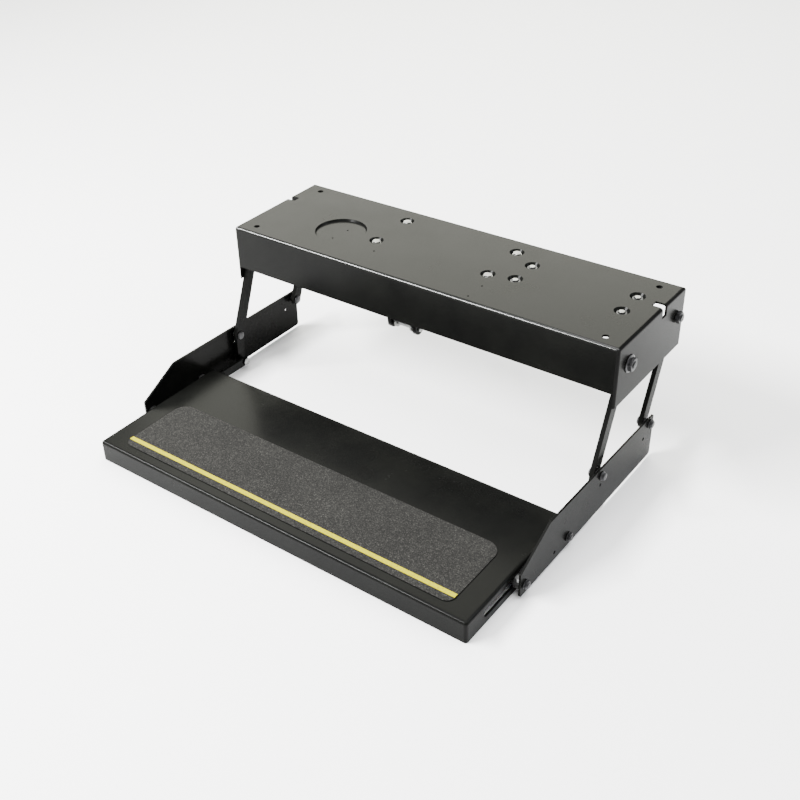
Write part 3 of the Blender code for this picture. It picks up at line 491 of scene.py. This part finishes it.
def top_bolt(node, flanged):
    """A bolt down through a dimple: head, shank and the nut under the bracket. A bolt without a
    flange has a dark washer."""
    low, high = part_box(node)
    centre = (low + high) / 2
    base = Vector((centre.x, centre.y, 0.0))
    bottom, top = low.z, high.z
    up = (0.0, 0.0, 1.0)
    bm = bmesh.new()
    nut_low = bottom + 0.0016
    thread = threaded_end(TOP_SHANK, bottom, nut_low, 0.0007)[1:]
    turned(bm, base, up, thread + [(TOP_SHANK, top - 0.0018)], 24)
    hexagonal(bm, base, up, TOP_NUT, TOP_NUT_HEIGHT, 0.3, nut_low)
    seat = top - TOP_HEAD_DROP
    if flanged:
        turned(bm, base, up, [(0.0062, seat), (0.0065, seat + 0.0005), (0.0064, seat + 0.0010)], 40)
        hexagonal(bm, base, up, BRACKET_HEX, 0.0020, 0.1 + centre.x * 11, seat + 0.0010)
    else:
        hexagonal(bm, base, up, MODULE_HEX, 0.0026, 0.2 + centre.x * 9, seat + 0.0004)
    piece(node + "_fine", bm, ZINC, "frame", [node])
    if not flanged:
        ring = bmesh.new()
        washer(ring, base, up, 0.0048, 0.0070, 0.0009, seat + 0.0001)
        piece(node + "_washer", ring, OXIDE, "frame")


for number in range(1, 5):
    top_bolt("bracket_bolt_%d" % number, True)
    top_bolt("module_bolt_%d" % number, False)


# ---- drive details ------------------------------------------------------------------------------

X_AXIS = (1.0, 0.0, 0.0)
TUBE_RADIUS = 0.0110
TUBE_WELD = 0.0042
LUG_WELD = 0.0032
LUG_WELD_ROOM = 0.004           # a bead this near to the gear case is left out
LEVER_PIN = JOINTS["tread_link_right_swing"]["pos_m"][1:]
TUBE = centre_of("torque_tube")
ARM_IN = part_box("front_arm_right")[0].x
for side, sign in SIDES:
    bm = bmesh.new()
    weld_bead(bm, (sign * (ARM_IN - 0.0004), TUBE.y, TUBE.z), X_AXIS, TUBE_RADIUS, TUBE_WELD, -sign, sign)
    low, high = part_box("drive_lug_" + side)
    for x, way in ((low.x - 0.0002, -1.0), (high.x + 0.0002, 1.0)):
        if x + way * LUG_WELD_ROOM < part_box("gear_housing")[0].x:
            weld_bead(bm, (x, TUBE.y, TUBE.z), X_AXIS, TUBE_RADIUS, LUG_WELD, way, 2.0 + way)
    piece("tube_welds_" + side, bm, POWDER, "front_arms")

    low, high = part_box("tread_link_" + side)
    face = abs(low.x if sign > 0 else high.x)
    bm = bmesh.new()
    turned(bm, (sign * (face + 0.0002), *LEVER_PIN), (-sign, 0.0, 0.0),
           [(0.0056, 0.0), (0.0058, 0.0005), (0.0052, 0.0013), (0.0030, 0.0018), (0.0008, 0.0019)], 32)
    piece("lever_rivet_" + side, bm, ZINC, "tread_link_" + side)


def pin_with_clip(node, body):
    """A pin with rounded ends, and a spring clip in the groove at its left end."""
    low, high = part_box(node)
    centre = (low + high) / 2
    radius = (high.y - low.y) / 2
    length = high.x - low.x
    start = (low.x, centre.y, centre.z)
    bm = bmesh.new()
    turned(bm, start, X_AXIS,
           [(radius * 0.78, 0.0), (radius, 0.0006), (radius, 0.0013), (radius * 0.84, 0.00135),
            (radius * 0.84, 0.0019), (radius, 0.00195), (radius, length - 0.0006),
            (radius * 0.78, length)], 32)
    piece(node + "_fine", bm, ZINC, body, [node])
    clip = bmesh.new()
    washer(clip, start, X_AXIS, radius * 0.86, radius * 1.55, 0.0005, 0.00137)
    piece(node + "_clip", clip, OXIDE, body)


pin_with_clip("drive_pin", "front_arms")
pin_with_clip("crank_pin", "crank")

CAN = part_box("motor_can")
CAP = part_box("motor_end_cap")
MOTOR = JOINTS["armature_spin"]["pos_m"][1:]
CAP_BOLT_CIRCLE = 0.0185
CAN_RADIUS = (CAN[1].y - CAN[0].y) / 2
bm = bmesh.new()
for x in (CAN[0].x + 0.004, CAN[0].x + 0.0075, CAN[1].x - 0.009):
    hollow_ring(bm, (x, *MOTOR), X_AXIS, CAN_RADIUS - 0.0004,
                [(0.0, -0.0009), (0.0009, -0.0006), (0.0012, 0.0), (0.0009, 0.0006), (0.0, 0.0009)], 64)
piece("can_beads", bm, OXIDE, "frame")
bm = bmesh.new()
for angle in (math.radians(60), math.radians(240)):
    place = (CAP[1].x - 0.0004, MOTOR[0] + CAP_BOLT_CIRCLE * math.cos(angle),
             MOTOR[1] + CAP_BOLT_CIRCLE * math.sin(angle))
    turned(bm, place, X_AXIS, [(0.0036, 0.0), (0.0038, 0.0005), (0.0034, 0.0017), (0.0022, 0.0022),
                               (0.0021, 0.0013), (0.0006, 0.0012)], 24)
turned(bm, (CAP[1].x - 0.0003, *MOTOR), X_AXIS,
       [(0.0078, 0.0), (0.0080, 0.0012), (0.0072, 0.0020), (0.0030, 0.0022), (0.0028, 0.0012),
        (0.0005, 0.0010)], 36)
piece("cap_bolts", bm, ZINC, "frame")


# ---- floor, lights and camera -------------------------------------------------------------------

FLOOR_RADIUS = 9
FLOOR_DROP = 0.0008
FLOOR_SEGMENTS = 64
WORLD_STRENGTH = 0.55
CAMERA_PLACE = (0.77992, -1.17157, 0.71335)
CAMERA_AZIMUTH = 39.458
CAMERA_ELEVATION = 33.663
CAMERA_ROLL = -2.918
CAMERA_LENS = 50.19
CAMERA_SENSOR = 36.0
CAMERA_SHIFT = (0.0625, -0.0125)


def floor():
    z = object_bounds()[0][2] - FLOOR_DROP
    bm = bmesh.new()
    angles = [2 * math.pi * k / FLOOR_SEGMENTS for k in range(FLOOR_SEGMENTS)]
    bm.faces.new([bm.verts.new((FLOOR_RADIUS * math.cos(a), FLOOR_RADIUS * math.sin(a), z))
                  for a in angles])
    mesh = bpy.data.meshes.new("floor")
    bm.to_mesh(mesh)
    bm.free()
    material, _, shader = new_material("pale_floor")
    shader.inputs["Base Color"].default_value = (0.93, 0.93, 0.93, 1.0)
    shader.inputs["Roughness"].default_value = 0.9
    shader.inputs["Specular IOR Level"].default_value = 0.1
    mesh.materials.append(material)
    obj = bpy.data.objects.new("floor", mesh)
    bpy.context.scene.collection.objects.link(obj)
    obj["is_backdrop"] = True


def area_light(name, place, aim, size, power, color=(1.0, 1.0, 1.0)):
    data = bpy.data.lights.new(name, "AREA")
    data.shape = "RECTANGLE"
    data.size, data.size_y = size
    data.energy = power
    data.color = color
    obj = bpy.data.objects.new(name, data)
    bpy.context.scene.collection.objects.link(obj)
    obj.location = place
    obj.rotation_euler = (Vector(aim) - Vector(place)).to_track_quat("-Z", "Y").to_euler()


floor()
area_light("back_softbox", (-1.5, 2.2, 1.75), (0.0, -0.1, -0.1), (2.8, 1.8), 140.0, (1.0, 1.0, 0.88))
area_light("front_strip", (-1.42, -1.65, 1.62), (0.0, -0.2, -0.1), (1.8, 0.14), 420.0)
area_light("right_softbox", (2.4, 1.6, 1.9), (0.3, 0.0, -0.2), (1.8, 1.0), 50.0, (0.90, 0.95, 1.0))
area_light("top_softbox", (0.4, 0.2, 3.0), (0.2, 0.2, -0.1), (3.6, 3.2), 260.0)
world = bpy.data.worlds.new("studio")
world.use_nodes = True
world.node_tree.nodes["Background"].inputs["Color"].default_value = (1.0, 1.0, 1.0, 1.0)
world.node_tree.nodes["Background"].inputs["Strength"].default_value = WORLD_STRENGTH
bpy.context.scene.world = world

azimuth = math.radians(CAMERA_AZIMUTH)
elevation = math.radians(CAMERA_ELEVATION)
roll = math.radians(CAMERA_ROLL)
forward = Vector((-math.sin(azimuth) * math.cos(elevation), math.cos(azimuth) * math.cos(elevation),
                  -math.sin(elevation)))
level = Vector((math.cos(azimuth), math.sin(azimuth), 0.0))
upright = level.cross(forward)
right = level * math.cos(roll) + upright * math.sin(roll)
up = right.cross(forward)
camera_data = bpy.data.cameras.new("camera")
camera_data.lens = CAMERA_LENS
camera_data.sensor_width = CAMERA_SENSOR
camera_data.shift_x, camera_data.shift_y = CAMERA_SHIFT
camera = bpy.data.objects.new("camera", camera_data)
bpy.context.scene.collection.objects.link(camera)
camera.matrix_world = Matrix((
    (right.x, up.x, -forward.x, CAMERA_PLACE[0]),
    (right.y, up.y, -forward.y, CAMERA_PLACE[1]),
    (right.z, up.z, -forward.z, CAMERA_PLACE[2]),
    (0.0, 0.0, 0.0, 1.0)))
bpy.context.scene.camera = camera
